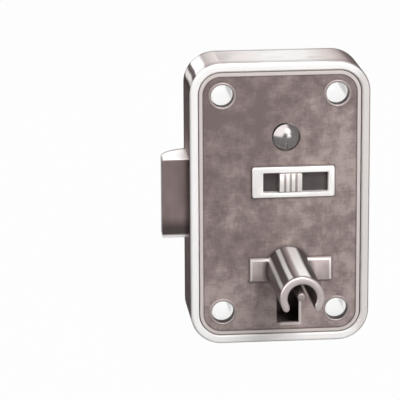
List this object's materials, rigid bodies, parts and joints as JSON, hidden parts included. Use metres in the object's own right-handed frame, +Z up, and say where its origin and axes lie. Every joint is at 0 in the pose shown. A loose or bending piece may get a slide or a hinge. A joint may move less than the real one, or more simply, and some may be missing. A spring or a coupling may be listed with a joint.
{
  "type": "door lock",
  "caption": "Surface-mounted door lock with spring latch, thumb slide in a window, push button and slotted key tube.",
  "frame": {"origin": "centre of the four fixing holes on the flat back face", "axes": "+X to the right seen from the front, +Y from the front into the door, +Z up along the case"},
  "size_m": [0.0792, 0.07, 0.11],
  "materials": {
    "cast_case": "polished, rounded rim",
    "cover_steel": "matt, warm grey",
    "bright_steel": "bright",
    "tube_steel": "bright, drawn lengthwise",
    "latch_steel": "satin, warm grey",
    "post_steel": "turned",
    "spring_steel": "tempered",
    "lever_brass": "stamped",
    "black_steel": "blackened"
  },
  "bodies": {
    "case": {"case_shell": "cast_case", "cover_plate": "cover_steel", "corner_eyelets": "bright_steel", "window_frame": "bright_steel", "key_tube": "tube_steel", "tube_collar": "cover_steel", "drill_pin": "bright_steel", "guide_post": "post_steel", "latch_spring": "spring_steel", "spring_rod": "post_steel", "spring_lug": "post_steel", "button_spring": "spring_steel", "button_spring_rivet": "post_steel", "lever_post": "post_steel", "spring_bar": "post_steel"},
    "latch": {"latch_head": "latch_steel", "latch_tail": "post_steel", "tail_rivets": "post_steel", "stump": "post_steel", "slide_plate": "black_steel", "thumb_piece": "bright_steel", "slide_rivets": "post_steel"},
    "button": {"push_button": "bright_steel"},
    "lever_1": {"lever_1": "lever_brass", "lever_spring_1": "spring_steel"},
    "lever_2": {"lever_2": "lever_brass", "lever_spring_2": "spring_steel"},
    "lever_3": {"lever_3": "lever_brass", "lever_spring_3": "spring_steel"},
    "lever_4": {"lever_4": "lever_brass", "lever_spring_4": "spring_steel"}
  },
  "joints": [
    {"name": "latch_slide", "type": "slide", "parent": "case", "child": "latch", "axis": [1, 0, 0], "range_m": [0, 0.0098], "stiffness_N_per_m": 250, "springref_m": -0.012, "deforming": ["latch_spring"]},
    {"name": "button_press", "type": "slide", "parent": "case", "child": "button", "axis": [0, 1, 0], "range_m": [0, 0.0024], "stiffness_N_per_m": 500, "springref_m": -0.002, "deforming": ["button_spring"]},
    {"name": "lever_1_lift", "type": "slide", "parent": "case", "child": "lever_1", "axis": [0, 0, 1], "range_m": [0, 0.0042], "stiffness_N_per_m": 120, "springref_m": -0.004, "deforming": ["lever_spring_1"]},
    {"name": "lever_2_lift", "type": "slide", "parent": "case", "child": "lever_2", "axis": [0, 0, 1], "range_m": [0, 0.005], "stiffness_N_per_m": 120, "springref_m": -0.004, "deforming": ["lever_spring_2"]},
    {"name": "lever_3_lift", "type": "slide", "parent": "case", "child": "lever_3", "axis": [0, 0, 1], "range_m": [0, 0.0038], "stiffness_N_per_m": 120, "springref_m": -0.004, "deforming": ["lever_spring_3"]},
    {"name": "lever_4_lift", "type": "slide", "parent": "case", "child": "lever_4", "axis": [0, 0, 1], "range_m": [0, 0.0046], "stiffness_N_per_m": 120, "springref_m": -0.004, "deforming": ["lever_spring_4"]}
  ]
}
